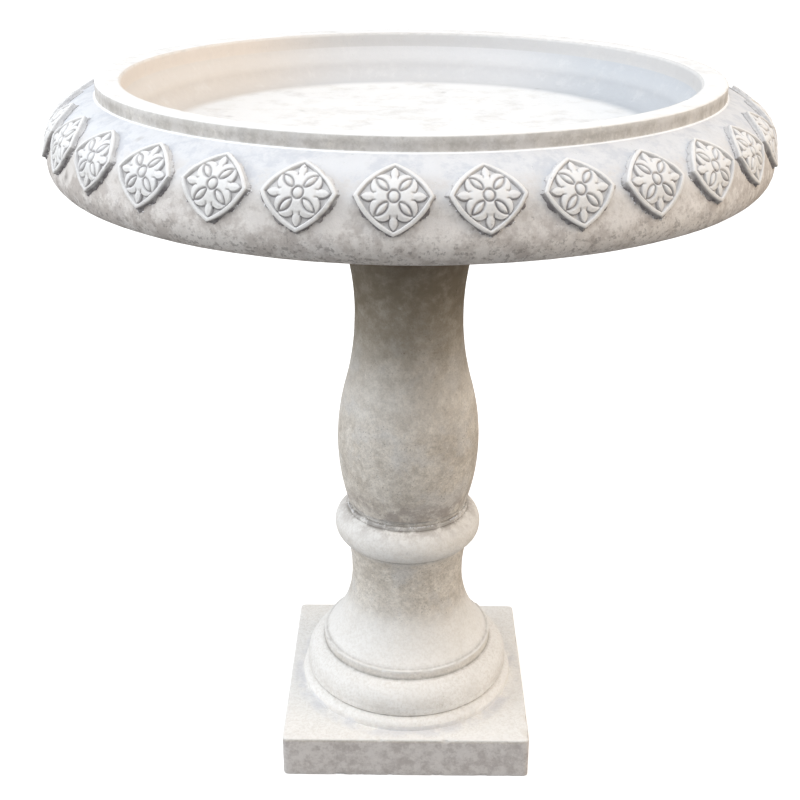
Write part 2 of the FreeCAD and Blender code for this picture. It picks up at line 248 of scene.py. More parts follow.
def side_path(step=0.4):
    """Points and outward directions down the bowl's rolled side, from the fascia to the underside."""
    heading = math.radians(-side_dip)
    here = np.array([rim_radius + fascia_shelf, rim_top - fascia_height])
    points, normals = [here], [outward(heading)]
    for piece in side_curves:
        if isinstance(piece, tuple):
            radius, turn = piece[0], math.radians(piece[1])
            centre = here - outward(heading) * radius
            count = max(2, int(radius * turn / step))
            for share in np.linspace(0, 1, count + 1)[1:]:
                points.append(centre + outward(heading - turn * share) * radius)
                normals.append(outward(heading - turn * share))
            heading -= turn
        else:
            along = np.array([math.cos(heading), math.sin(heading)])
            count = max(2, int(piece / step))
            for share in np.linspace(0, 1, count + 1)[1:]:
                points.append(here + along * piece * share)
                normals.append(outward(heading))
        here = points[-1]
    return np.array(points), np.array(normals)


def bowl_outline():
    side, _ = side_path()
    wall_foot = rim_top - lip_fall - lip_wall
    inner = rim_radius - lip_width
    cove_r = inner - wall_run / 2
    floor_centre = floor_edge - floor_dish
    dish_run = floor_radius - floor_flat_radius
    dish_curve = (dish_run ** 2 + floor_dish ** 2) / (2 * floor_dish)
    dish_middle = (floor_flat_radius + dish_run / 2, floor_centre + arc_rise(dish_curve, dish_run / 2))
    outline = Outline(0, seat + bowl_hole_depth)
    outline.line((bowl_hole_radius, seat + bowl_hole_depth), (bowl_hole_radius, seat), (boss_radius, seat))
    outline.arc((boss_radius + boss_cove * 0.3, underside - boss_cove_rise),
                (boss_radius + boss_cove, underside))
    outline.line(side[-1])
    outline.points.extend(side[-2::-1])
    outline.line((rim_radius, side[0][1]), (rim_radius, rim_top), (inner, rim_top - lip_fall),
                 (inner - lip_wall_draft, wall_foot), (cove_r + cove_draft, floor_edge + cove_height))
    outline.arc((cove_r - cove_height * 0.15, floor_edge + cove_height * 0.45), (floor_radius, floor_edge))
    outline.arc(dish_middle, (floor_flat_radius, floor_centre))
    outline.line((0, floor_centre))
    return outline


def column_outline():
    narrowing = belly_radius - waist_radius
    rise = waist - belly
    both_curves = (narrowing ** 2 + rise ** 2) / (2 * narrowing)
    waist_curve = both_curves - belly_upper_curve
    share = belly_upper_curve / both_curves
    turn_point = (belly_radius - narrowing * share, belly + rise * share)
    half_belly = rise * share / 2
    half_waist = rise * (1 - share) / 2
    cap_foot = column_top - cap_height
    flare = cap_foot - waist
    foot_drop = belly - foot
    outline = Outline(0, tenon_foot)
    outline.line((tenon_radius, tenon_foot), (tenon_radius, foot),
                 (belly_radius - arc_rise(belly_lower_curve, foot_drop), foot))
    outline.arc((belly_radius - arc_rise(belly_lower_curve, foot_drop / 2), foot + foot_drop / 2),
                (belly_radius, belly))
    outline.arc((belly_radius - arc_rise(belly_upper_curve, half_belly), belly + half_belly), turn_point)
    outline.arc((waist_radius + arc_rise(waist_curve, half_waist), waist - half_waist),
                (waist_radius, waist))
    outline.arc((waist_radius + arc_rise(waist_curve, flare / 2), waist + flare / 2),
                (waist_radius + arc_rise(waist_curve, flare), cap_foot))
    hole_end = column_top - dowel_hole_depth
    outline.line((cap_radius, cap_foot), (cap_radius, column_top), (dowel_hole_radius, column_top),
                 (dowel_hole_radius, hole_end), (0, hole_end))
    return outline


def base_turned_outline():
    """The turned part of the base, from the bead up to the socket's floor."""
    scotia_foot = band_radius - band_lip
    reach = scotia_foot - neck_radius
    drop = neck - band_top
    neck_curve = (drop ** 2 + reach ** 2) / (2 * reach)
    joint_radius = ring_radius - joint_inset
    collar_half = math.sqrt(collar_tube ** 2 - (joint_radius - collar_centre_radius) ** 2)
    collar_foot = collar - collar_half + collar_foot_lift
    climb = collar_foot - neck
    bead_half = bead_height / 2
    bead_top = plinth_height + bead_height
    outline = Outline(bead_radius - bead_half * 0.2, plinth_height)
    outline.arc((bead_radius, plinth_height + bead_half), (bead_radius - bead_half, bead_top))
    outline.line((torus_foot_radius, bead_top))
    outline.arc((torus_foot_radius + torus_foot_bulge[0], bead_top + torus_foot_bulge[1]),
                (torus_radius, torus_widest))
    outline.arc((torus_top_radius + torus_top_bulge[0], torus_top - torus_top_bulge[1]),
                (torus_top_radius, torus_top))
    outline.line((band_radius, torus_top), (band_radius, band_top), (scotia_foot, band_top))
    outline.arc((neck_radius + arc_rise(neck_curve, drop / 2), neck - drop / 2), (neck_radius, neck))
    outline.arc((neck_radius + arc_rise(neck_upper_curve, climb / 2), neck + climb / 2),
                (neck_radius + arc_rise(neck_upper_curve, climb), collar_foot))
    outline.arc((collar_centre_radius + collar_tube, collar + collar_crown),
                (joint_radius, collar + collar_half))
    outline.line((ring_radius, collar + collar_half), (ring_radius, base_top), (socket_radius, base_top),
                 (socket_radius, socket_floor), (0, socket_floor))
    return outline


# ---- turning sections into meshes ----

def curvature(points):
    """Signed curvature along an outline: above 0 on outward edges, below 0 in hollows."""
    first = np.gradient(points, axis=0)
    second = np.gradient(first, axis=0)
    speed = np.maximum(np.linalg.norm(first, axis=1), 1e-6)
    return (first[:, 0] * second[:, 1] - first[:, 1] * second[:, 0]) / speed ** 3


def respaced(points, count, *tracks, focus=9.0):
    """count points along an outline, closer together where it bends."""
    length = np.concatenate([[0], np.cumsum(np.linalg.norm(np.diff(points, axis=0), axis=1))])
    weight = 1 + focus * np.minimum(np.abs(curvature(points)), 0.6)
    total = np.concatenate([[0], np.cumsum((weight[1:] + weight[:-1]) / 2 * np.diff(length))])
    wanted = np.linspace(0, total[-1], count)
    return [np.stack([np.interp(wanted, total, points[:, k]) for k in (0, 1)], axis=1)] + \
           [np.interp(wanted, total, track) for track in tracks]


def placed(name, data):
    """A new object in the scene, at the origin."""
    made = bpy.data.objects.new(name, data)
    bpy.context.scene.collection.objects.link(made)
    return made


def shaped(name, mesh, tree, amounts, material, body, slot, *nodes):
    """A piece grown from a mesh by a geometry tree, and put on its body."""
    piece = placed(name, mesh)
    piece.data = grown(piece, tree, dict(amounts, Finish=material))
    bpy.data.meshes.remove(mesh)
    piece.data.name = name
    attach(piece, body)
    if nodes:
        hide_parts(*nodes)


class Casting:
    """Points and faces of one stone, in millimetres, with values that its finish reads."""

    def __init__(self, points, faces, values):
        self.points = points
        self.faces = faces
        self.values = values

    def piece(self, name, *rest):
        """The casting as a piece; the rest is what shaped() asks for after the mesh."""
        mesh = bpy.data.meshes.new(name)
        mesh.from_pydata((self.points * MM).tolist(), [], self.faces)
        mesh.update()
        for key, value in self.values.items():
            attribute = mesh.attributes.new(key, "FLOAT", "POINT")
            attribute.data.foreach_set("value", np.asarray(value, np.float32))
        mesh.polygons.foreach_set("use_smooth", [True] * len(mesh.polygons))
        shaped(name, mesh, *rest)


def rings_to_faces(rings, around):
    """Quads between rings of points, and a fan from a pole point at either end."""
    faces = []
    for ring in range(rings - 1):
        for k in range(around):
            after = (k + 1) % around
            low, high = ring * around, (ring + 1) * around
            faces.append((low + k, low + after, high + after, high + k))
    pole = rings * around
    last = (rings - 1) * around
    faces.extend((pole, (k + 1) % around, k) for k in range(around))
    faces.extend((pole + 1, last + k, last + (k + 1) % around) for k in range(around))
    return faces


def bend_values(bend, around):
    """The edge and hollow values of turned rows, with nothing on the two poles."""
    bend = np.concatenate([np.repeat(bend, around), [0, 0]]) * BEND_GAIN
    return {"edge": np.clip(bend, 0, 1), "hollow": np.clip(-bend, 0, 1)}


def turned_casting(outline, sigma, rows, around):
    """An outline from axis to axis, turned into a closed casting."""
    points = outline.softened(sigma)
    rows_at, bend = respaced(points, rows + 2, curvature(points))
    inner = rows_at[1:-1]
    turn = np.tile(np.arange(around) * 2 * math.pi / around, rows)
    r = np.repeat(inner[:, 0], around)
    z = np.repeat(inner[:, 1], around)
    made = np.stack([r * np.cos(turn), r * np.sin(turn), z], axis=1)
    made = np.concatenate([made, [[0, 0, rows_at[0, 1]], [0, 0, rows_at[-1, 1]]]])
    return Casting(made, rings_to_faces(rows, around), bend_values(bend[1:-1], around))


def base_casting():
    """The plinth and turned base as one skin: square rows that melt into round ones."""
    turned = base_turned_outline().softened(base_softening)
    turned_rows, turned_bend = respaced(turned, BASE_ROWS, curvature(turned))
    plinth = Outline(0, 0)
    plinth.line((plinth_half, 0), (plinth_half, plinth_height), (turned[0, 0] + 0.5, plinth_height))
    plinth = plinth.softened(plinth_softening)
    plinth_rows, plinth_bend = respaced(plinth, PLINTH_ROWS, curvature(plinth), focus=14.0)
    plinth_rows, plinth_bend = plinth_rows[1:], plinth_bend[1:]
    rows_at = np.concatenate([plinth_rows, turned_rows[:-1]])
    bend = np.concatenate([plinth_bend, turned_bend[:-1]])
    squareness = np.ones(len(plinth_rows))
    top = (plinth_rows[:, 1] > plinth_height - 1.0) & (plinth_rows[:, 0] < plinth_half - 2.0)
    squareness[top] = smooth(plinth_rows[top, 0], turned[0, 0], plinth_half - 2.0)
    squareness = np.concatenate([squareness, np.zeros(len(turned_rows) - 1)])
    angles = np.arange(AROUND_BASE) * 2 * math.pi / AROUND_BASE
    power = plinth_corner_power
    square = (np.abs(np.cos(angles)) ** power + np.abs(np.sin(angles)) ** power) ** (-1 / power)
    reach = np.outer(rows_at[:, 0], np.ones(AROUND_BASE)) * (1 + np.outer(squareness, square - 1))
    turn = np.tile(angles, len(rows_at))
    r = reach.ravel()
    z = np.repeat(rows_at[:, 1], AROUND_BASE)
    points = np.stack([r * np.cos(turn), r * np.sin(turn), z], axis=1)
    points = np.concatenate([points, [[0, 0, 0], [0, 0, socket_floor]]])
    return Casting(points, rings_to_faces(len(rows_at), AROUND_BASE), bend_values(bend, AROUND_BASE))


# ---- node trees ----

FLOAT, WHOLE, COLOUR = "NodeSocketFloat", "NodeSocketInt", "NodeSocketColor"
VECTOR, GEOMETRY, MATERIAL = "NodeSocketVector", "NodeSocketGeometry", "NodeSocketMaterial"


def feed(tree, socket, value):
    if isinstance(value, bpy.types.NodeSocket):
        tree.links.new(value, socket)
    elif isinstance(value, tuple) and len(value) == 3 and socket.type == "RGBA":
        socket.default_value = (*value, 1.0)
    else:
        socket.default_value = value


def node(tree, kind, inputs=None, output=0, **settings):
    """Adds a node, feeds its named or numbered inputs, and gives back one output."""
    made = tree.nodes.new(kind)
    for key, value in settings.items():
        setattr(made, key, value)
    for key, value in (inputs or {}).items():
        feed(tree, made.inputs[key], value)
    return made.outputs[output]


def maths(tree, operation, *values):
    return node(tree, "ShaderNodeMath", dict(enumerate(values)), operation=operation)


def times(tree, *values):
    result = values[0]
    for value in values[1:]:
        result = maths(tree, "MULTIPLY", result, value)
    return result


def band(tree, value, low, high, start=0.0, end=1.0):
    """Goes smoothly from start to end as the value goes from low to high."""
    inputs = {"Value": value, "From Min": low, "From Max": high, "To Min": start, "To Max": end}
    return node(tree, "ShaderNodeMapRange", inputs, interpolation_type="SMOOTHSTEP")


def noise(tree, place, patch, detail=3.0, rough=0.55, seed=0.0):
    """A value about 0.5, changing over patches of this many millimetres."""
    inputs = {"Vector": place, "Scale": 1.0 / (patch * MM), "Detail": detail, "Roughness": rough,
              "W": seed}
    return node(tree, "ShaderNodeTexNoise", inputs, noise_dimensions="4D")


def blend(tree, share, first, second, mode="MIX"):
    made = tree.nodes.new("ShaderNodeMix")
    made.data_type = "RGBA"
    made.blend_type = mode
    for index, value in ((0, share), (6, first), (7, second)):
        feed(tree, made.inputs[index], value)
    return made.outputs[2]


def stain(tree, colour, over, *shares):
    """Lays another colour over this one, as strongly as the shares' product."""
    return blend(tree, times(tree, *shares), colour, over)


def grey(tree, value):
    return node(tree, "ShaderNodeCombineColor", {0: value, 1: value, 2: value})


def group(name, kind, inputs, output):
    """A new node group, its input sockets and its output; inputs are (kind of socket, name, name...)."""
    tree = bpy.data.node_groups.new(name, kind)
    for socket, *labels in inputs:
        for label in labels:
            tree.interface.new_socket(label, in_out="INPUT", socket_type=socket)
    tree.interface.new_socket(output[1], in_out="OUTPUT", socket_type=output[0])
    return tree, tree.nodes.new("NodeGroupInput").outputs, tree.nodes.new("NodeGroupOutput").inputs[0]


def use(tree, shared, inputs):
    made = tree.nodes.new("ShaderNodeGroup")
    made.node_tree = shared
    for key, value in inputs.items():
        feed(tree, made.inputs[key], value)
    return made.outputs[0]


# ---- weathering of a casting ----

def weathering_tree():
    """Slow waves, a sandy skin, broken edges and open air holes, all along the surface's normal."""
    tree, given, result = group("cast_weathering", "GeometryNodeTree", [
        (GEOMETRY, "Geometry"), (FLOAT, "Wave", "Skin", "Chips", "Holes", "Hole spacing", "Seed"),
        (MATERIAL, "Finish")], (GEOMETRY, "Geometry"))
    place = node(tree, "GeometryNodeInputPosition")
    edge = node(tree, "GeometryNodeInputNamedAttribute", {"Name": "edge"}, data_type="FLOAT")
    hollow = node(tree, "GeometryNodeInputNamedAttribute", {"Name": "hollow"}, data_type="FLOAT")
    seed = given["Seed"]
    wave = maths(tree, "SUBTRACT", noise(tree, place, 85.0, 2.0, seed=seed), 0.5)
    skin = maths(tree, "SUBTRACT", noise(tree, place, 11.0, 4.0, 0.6, seed=seed), 0.5)
    broken = band(tree, noise(tree, place, 17.0, 3.0, 0.65, maths(tree, "ADD", seed, 5.0)), 0.52, 0.68)
    spacing = maths(tree, "DIVIDE", 1.0 / MM, given["Hole spacing"])
    cells = {"Vector": place, "Scale": spacing}
    hole_distance = node(tree, "ShaderNodeTexVoronoi", cells, "Distance")
    cell_colour = node(tree, "ShaderNodeTexVoronoi", cells, "Color")
    hole_pick = node(tree, "FunctionNodeSeparateColor", {0: cell_colour})
    hole_size = band(tree, hole_pick, 0.72, 1.0, 0.0, 0.12)
    hole = band(tree, maths(tree, "SUBTRACT", hole_distance, hole_size), -0.03, 0.0, 1.0, 0.0)
    push = maths(tree, "MULTIPLY", wave, given["Wave"])
    push = maths(tree, "MULTIPLY_ADD", skin, given["Skin"], push)
    push = maths(tree, "SUBTRACT", push, times(tree, broken, edge, given["Chips"]))
    push = maths(tree, "SUBTRACT", push, times(tree, hole, given["Holes"]))
    push = times(tree, push, MM)
    normal = node(tree, "GeometryNodeInputNormal")
    offset = node(tree, "ShaderNodeVectorMath", {0: normal, "Scale": push}, operation="SCALE")
    dark = maths(tree, "MAXIMUM", hollow, times(tree, hole, 0.9))
    dark = maths(tree, "MAXIMUM", dark, times(tree, broken, edge, 0.35))
    kept = node(tree, "GeometryNodeStoreNamedAttribute", {"Geometry": given["Geometry"], "Name": "hollow",
                "Value": dark}, data_type="FLOAT", domain="POINT")
    moved = node(tree, "GeometryNodeSetPosition", {"Geometry": kept, "Offset": offset})
    moved = node(tree, "GeometryNodeRealizeInstances", {"Geometry": moved})
    moved = node(tree, "GeometryNodeSetMaterial", {"Geometry": moved, "Material": given["Finish"]})
    feed(tree, result, moved)
    return tree


def grown(source, tree, inputs):
    """Runs a geometry tree on an object and gives back the result as a plain mesh."""
    modifier = source.modifiers.new(tree.name, "NODES")
    modifier.node_group = tree
    for item in tree.interface.items_tree:
        if item.in_out == "INPUT" and item.name in inputs:
            modifier[item.identifier] = inputs[item.name]
    source.update_tag()
    graph = bpy.context.evaluated_depsgraph_get()
    graph.update()
    mesh = bpy.data.meshes.new_from_object(source.evaluated_get(graph))
    source.modifiers.remove(modifier)
    return mesh


# ---- slurry crumbs ----

def crumbs_tree():
    """Crumbs of squeezed-out slurry, in clumps, on some of the points handed in."""
    tree, given, result = group("slurry_crumbs", "GeometryNodeTree", [
        (GEOMETRY, "Geometry"), (FLOAT, "Size", "Share", "Clump"), (WHOLE, "Seed"), (MATERIAL, "Finish")],
        (GEOMETRY, "Geometry"))
    place = node(tree, "GeometryNodeInputPosition")
    clump = node(tree, "ShaderNodeTexNoise", {"Vector": place, "Detail": 1.0, "W": given["Seed"],
                 "Scale": maths(tree, "DIVIDE", 1.0 / MM, given["Clump"])}, noise_dimensions="4D")
    chance = times(tree, band(tree, clump, 0.48, 0.6), given["Share"])
    picked = node(tree, "FunctionNodeRandomValue", {"Probability": chance, "Seed": given["Seed"]}, 3,
                  data_type="BOOLEAN")
    size = node(tree, "FunctionNodeRandomValue", {"Min": (0.35, 0.35, 0.3), "Max": (1.2, 1.1, 0.8),
                "Seed": given["Seed"]}, data_type="FLOAT_VECTOR")
    turned = node(tree, "FunctionNodeRandomValue", {"Min": (0.0, 0.0, 0.0), "Max": (6.28, 6.28, 6.28),
                  "Seed": given["Seed"]}, data_type="FLOAT_VECTOR")
    radius = times(tree, given["Size"], MM)
    crumb = node(tree, "GeometryNodeMeshIcoSphere", {"Radius": radius, "Subdivisions": 2})
    crumb = node(tree, "GeometryNodeSetShadeSmooth", {"Geometry": crumb})
    crumbs = node(tree, "GeometryNodeInstanceOnPoints", {"Points": given["Geometry"], "Selection": picked,
                  "Instance": crumb, "Rotation": turned, "Scale": size})
    crumbs = node(tree, "GeometryNodeRealizeInstances", {"Geometry": crumbs})
    crumbs = node(tree, "GeometryNodeSetMaterial", {"Geometry": crumbs, "Material": given["Finish"]})
    feed(tree, result, crumbs)
    return tree


def crumbs(name, points, *rest):
    """One mesh of crumbs along the points; the rest is what shaped() asks for after the mesh."""
    mesh = bpy.data.meshes.new(name)
    mesh.from_pydata((points * MM).tolist(), [], [])
    shaped(name, mesh, *rest)


# ---- plaques ----

def lens_inside(along, across, start, length, width):
    """How far inside an almond shape a point lies; the almond runs along the first axis."""
    half, bulge = length / 2, width / 2
    radius = (half ** 2 + bulge ** 2) / (2 * bulge)
    return radius - np.hypot(along - start - half, np.abs(across) + radius - bulge)


def flower_relief(x, y):
    """Height over the sunk field, and how dark the grooves, the flower's foot and the field turn, as dirt and
    painted shade, for a four-leaved flower.
    """
    quarter = np.round(np.arctan2(y, x) / (math.pi / 2)) * (math.pi / 2)
    along = x * np.cos(quarter) + y * np.sin(quarter)
    across = np.abs(y * np.cos(quarter) - x * np.sin(quarter))
    radius = np.hypot(x, y)
    tip = lens_inside(along, across, tip_start, tip_length, tip_width)
    lobe = lobe_radius - np.hypot(along - lobe_along, across - lobe_across)
    leaf = np.maximum(np.maximum(tip, lobe), flower_radius - radius)
    slant_along = (along + across) * math.sqrt(0.5)
    slant_across = (along - across) * math.sqrt(0.5)
    petal = lens_inside(slant_along, slant_across, petal_start, petal_length, petal_width)
    clear_of_ring = smooth(radius, 4.6, 5.6)
    petal_groove = np.exp(-(petal / petal_groove_width) ** 2) * clear_of_ring
    ring_groove = np.exp(-((radius - ring_groove_radius) / ring_groove_width) ** 2)
    crease = np.exp(-((across - crease_across) / 0.5) ** 2) * smooth(along, crease_start, crease_start + 2)
    crease = crease * smooth(-along, -crease_end, 1.5 - crease_end)
    height = flower_rise * smooth(leaf, -0.55, 0.15) + 0.45 * smooth(leaf, 0.1, 3.0)
    height = height + 0.5 * smooth(petal, 0.4, 2.2) + 0.5 * smooth(-radius, -3.2, -0.8)
    height = height - groove_depth * (petal_groove + ring_groove) - crease_depth * crease
    # dark grooves, crease, flower's foot and sunk field: dirt and painted shade
    foot = np.exp(-((leaf + 0.45) / 0.42) ** 2)
    wash_and_shade = np.maximum.reduce([petal_groove, ring_groove, 0.7 * crease, 0.85 * foot])
    field = 0.34 * smooth(-leaf, 0.2, 1.0)
    return height, np.clip(wash_and_shade + field, 0, 1)


class Plaque:
    """A bowed square on its point, modelled flat and then wrapped on the bowl's rolled side."""

    steps = 111
    wall_levels = (0.86, 0.55, 0.34, 0.24, -0.1)  # of the edge's height, from the rim down
    # darkness of the edge walls, from the rim down: painted shadow of the plaque's thickness
    wall_shadow = (0.45, 0.8, 1.0, 1.0, 1.0)
    skirt_shares = (0.0, 0.1, 0.2, 1.0, 1.2)
    skirt_width = 1.5  # bedding slurry squeezed out round a plaque
    turned_by = 1.1  # spreads of the hand setting: degrees, millimetres, slope
    shifted_by = 0.4
    tipped_by = 0.008

    def __init__(self):
        self.side, self.normals = side_path(step=0.2)
        gaps = np.linalg.norm(np.diff(self.side, axis=0), axis=1)
        self.length = np.concatenate([[0], np.cumsum(gaps)])
        self.seams = []
        self.flat()
        self.faces = self.skin_faces()

    def flat(self):
        axis = np.linspace(-1, 1, self.steps)
        p, q = np.meshgrid(axis, axis, indexing="ij")
        half_width, half_height = plaque_half_width, plaque_half_height
        diagonal = math.hypot(half_width, half_height)
        bow_p = p * (1 - q ** 2) * plaque_bulge
        bow_q = q * (1 - p ** 2) * plaque_bulge
        self.u = (p + q) / 2 * half_width + (bow_p + bow_q) * half_height / diagonal
        self.v = (p - q) / 2 * half_height + (bow_p - bow_q) * half_width / diagonal
        outer = np.maximum(np.abs(p), np.abs(q))
        inner = np.minimum(np.abs(p), np.abs(q))
        reach = half_width * half_height / diagonal + plaque_bulge * (1 - inner ** 2)
        self.from_edge = (1 - outer) * reach
        flower, wash_and_shade = flower_relief(self.u, self.v)
        frame_share = smooth(frame_band - self.from_edge, -0.3, 0.35)
        crown = plaque_thickness - 0.7 * np.exp(-self.from_edge / 0.45)
        crown = crown - 0.2 * smooth(self.from_edge, frame_band - 0.9, frame_band)
        self.height = (field_thickness + flower) * (1 - frame_share) + crown * frame_share
        # painted shadow line along the frame's inner foot
        foot = 0.75 * np.exp(-((self.from_edge - frame_band - 0.3) / 0.35) ** 2)
        self.hollow = np.maximum(wash_and_shade * (1 - frame_share), foot)
        self.edge = 0.9 * np.exp(-self.from_edge / 0.9)

    def rim(self):
        last = self.steps - 1
        walk = [(0, k) for k in range(last)] + [(k, last) for k in range(last)]
        walk += [(last, last - k) for k in range(last)] + [(last - k, 0) for k in range(last)]
        return np.array([i * self.steps + k for i, k in walk])

    def skin_faces(self):
        steps, rim = self.steps, self.rim()
        corner = (np.arange(steps - 1)[:, None] * steps + np.arange(steps - 1)).ravel()
        faces = np.stack([corner, corner + 1, corner + steps + 1, corner + steps], axis=1)
        rings = [rim] + [steps ** 2 + level * len(rim) + np.arange(len(rim))
                         for level in range(len(self.wall_levels))]
        walls = [np.stack([upper, lower, np.roll(lower, -1), np.roll(upper, -1)], axis=1)
                 for upper, lower in zip(rings, rings[1:])]
        centre = steps ** 2 + len(self.wall_levels) * len(rim)
        bed = [(int(a), centre, int(b)) for a, b in zip(rings[-1], np.roll(rings[-1], -1))]
        return np.concatenate([faces] + walls).tolist() + bed

    def wrap(self, u, v, height):
        along = plaque_centre - v
        side = [np.interp(along, self.length, self.side[:, k]) for k in (0, 1)]
        normal = [np.interp(along, self.length, self.normals[:, k]) for k in (0, 1)]
        angle = u / np.interp(plaque_centre, self.length, self.side[:, 0])
        reach = side[0] + normal[0] * height
        return np.stack([reach * np.cos(angle), reach * np.sin(angle), side[1] + normal[1] * height], axis=-1)

    def casting(self, index, rng):
        """One plaque, set down by hand: slightly turned, shifted, tipped and bedded."""
        turn = math.radians(rng.normal(0, self.turned_by))
        shift = rng.normal(0, self.shifted_by, 2)
        tip = rng.normal(0, self.tipped_by, 2)
        bedding = rng.uniform(-0.4, 0.15)
        u = self.u * math.cos(turn) - self.v * math.sin(turn) + shift[0]
        v = self.u * math.sin(turn) + self.v * math.cos(turn) + shift[1]
        height = self.height + bedding + tip[0] * self.u + tip[1] * self.v
        rim = self.rim()
        rings = [self.wrap(u, v, height).reshape(-1, 3)]
        rim_u, rim_v, rim_height = u.ravel()[rim], v.ravel()[rim], height.ravel()[rim]
        uneven = np.convolve(rng.normal(0, 1, len(rim) + 12), np.ones(13) / 13, "valid")
        skirt = np.clip(self.skirt_width * (1 + 2.0 * uneven), 0.3, 3.0)
        for level, share in zip(self.wall_levels, self.skirt_shares):
            wider = 1.0 + skirt * share / plaque_half_width
            rings.append(self.wrap(rim_u * wider, rim_v * wider, rim_height * level))
        rings.append(self.wrap(shift[:1], shift[1:], np.array([-bed_depth])))
        azimuth = math.radians(plaque_turn + 360.0 / plaque_count * index)
        cos, sin = math.cos(azimuth), math.sin(azimuth)
        swing = np.array([[cos, sin, 0], [-sin, cos, 0], [0, 0, 1]])
        points = np.concatenate(rings) @ swing
        self.seams.append(rings[-2][:2 * self.steps - 2] @ swing)
        rest = len(points) - self.steps ** 2
        edge = np.concatenate([self.edge.ravel(), np.zeros(rest)])
        # painted shadow on the edge walls, heaviest under the plaque's lower edges
        shaded_below = 0.45 + 0.55 * smooth(-rim_v, -5.0, 6.0)
        walls = np.outer(self.wall_shadow, shaded_below).ravel()
        hollow = np.concatenate([self.hollow.ravel(), walls, [1.0]])
        return Casting(points, self.faces, {"edge": edge, "hollow": hollow})


def make_plaques(tree, material):
    """All the plaques; gives back the points along their seams with the bowl."""
    plaque = Plaque()
    rng = np.random.default_rng(7)
    amounts = {"Wave": 0.5, "Skin": 0.5, "Chips": 1.3, "Holes": 0.5, "Hole spacing": 9.0}
    for index in range(plaque_count):
        name = "rosette_plaque_%02d" % (index + 1)
        casting = plaque.casting(index, rng)
        casting.piece("relief_" + name, tree, dict(amounts, Seed=20.0 + index), material,
                      "basin", "plaque_stone", name)
    return np.concatenate(plaque.seams)


# ---- shared looks ----

def mottling_group():
    """Cloudy patches of three stone colours with fine sand, dark grit and pale lime specks."""
    tree, given, result = group("stone_mottling", "ShaderNodeTree", [
        (VECTOR, "Vector"), (COLOUR, "Light", "Dark", "Cool"), (FLOAT, "Specks")], (COLOUR, "Color"))
    place = given["Vector"]
    clouds = noise(tree, place, 60.0, 5.0, 0.62)
    blotches = noise(tree, place, 14.0, 5.0, 0.7, 3.0)
    share = maths(tree, "MULTIPLY_ADD", blotches, 0.5, times(tree, clouds, 0.5))
    colour = blend(tree, band(tree, share, 0.42, 0.58), given["Dark"], given["Light"])
    lumps = band(tree, noise(tree, place, 6.0, 6.0, 0.75, 9.0), 0.38, 0.62, 0.84, 1.12)
    colour = blend(tree, given["Specks"], colour, grey(tree, lumps), "MULTIPLY")
    cool = band(tree, noise(tree, place, 38.0, 4.0, 0.6, 5.0), 0.5, 0.66)
    colour = stain(tree, colour, given["Cool"], cool, 0.45)
    sand = band(tree, noise(tree, place, 1.7, 3.0, 0.75, 7.0), 0.34, 0.66, 0.8, 1.1)
    colour = blend(tree, given["Specks"], colour, grey(tree, sand), "MULTIPLY")
    grit = node(tree, "ShaderNodeTexVoronoi", {"Vector": place, "Scale": 300.0}, "Distance")
    spots = band(tree, grit, 0.12, 0.28, 1.0, 0.0)
    picked = band(tree, noise(tree, place, 10.0, 3.0, seed=11.0), 0.42, 0.6)
    colour = stain(tree, colour, (0.22, 0.2, 0.18), spots, picked, given["Specks"], 0.65)
    pale = band(tree, noise(tree, place, 3.0, 3.0, 0.65, 15.0), 0.6, 0.7)
    colour = stain(tree, colour, (0.84, 0.84, 0.83), pale, given["Specks"], 0.5)
    cells = {"Vector": place, "Scale": 48.0}
    pit = band(tree, node(tree, "ShaderNodeTexVoronoi", cells, "Distance"), 0.035, 0.065, 1.0, 0.0)
    chosen = node(tree, "ShaderNodeSeparateColor", {0: node(tree, "ShaderNodeTexVoronoi", cells, "Color")})
    chosen = band(tree, chosen, 0.68, 0.7)
    feed(tree, result, stain(tree, colour, (0.2, 0.18, 0.165), pit, chosen, 0.8))
    return tree


def bloom_and_light_group():
    """Paler colour on whatever faces the sky: partly lime, partly painted sky light."""
    tree, given, result = group("lime_bloom_and_sky_light", "ShaderNodeTree", [
        (VECTOR, "Vector"), (COLOUR, "Color", "Bloom"), (FLOAT, "Amount", "Upward")], (COLOUR, "Color"))
    broken = band(tree, noise(tree, given["Vector"], 24.0, 4.0, 0.65, 21.0), 0.3, 0.55, 0.7, 1.0)
    upward = band(tree, given["Upward"], 0.0, 0.7)
    # painted sky light as well as lime: up-facing faces made paler
    bloomed_and_lit = stain(tree, given["Color"], given["Bloom"], upward, broken, given["Amount"])
    feed(tree, result, bloomed_and_lit)
    return tree


def wash_and_shade_group():
    """Dark washed-in dirt and painted shade in hollows, less where they face the sky, and paler worn edges.
    """
    tree, given, result = group("wash_shade_and_wear", "ShaderNodeTree", [
        (VECTOR, "Vector"), (COLOUR, "Color", "Wash", "Wear"),
        (FLOAT, "Wash amount", "Wear amount", "Edge", "Hollow", "Upward")], (COLOUR, "Color"))
    ragged = band(tree, noise(tree, given["Vector"], 6.0, 3.0, 0.6, 31.0), 0.3, 0.6, 0.55, 1.0)
    colour = stain(tree, given["Color"], given["Wear"], given["Edge"], ragged, given["Wear amount"])
    # painted shade with the dirt: hollows turned sideways or down darken most
    shaded_below = band(tree, given["Upward"], 0.3, 0.95, 1.0, 0.45)
    colour = stain(tree, colour, given["Wash"], given["Hollow"], ragged, shaded_below, given["Wash amount"])
    feed(tree, result, colour)
    return tree


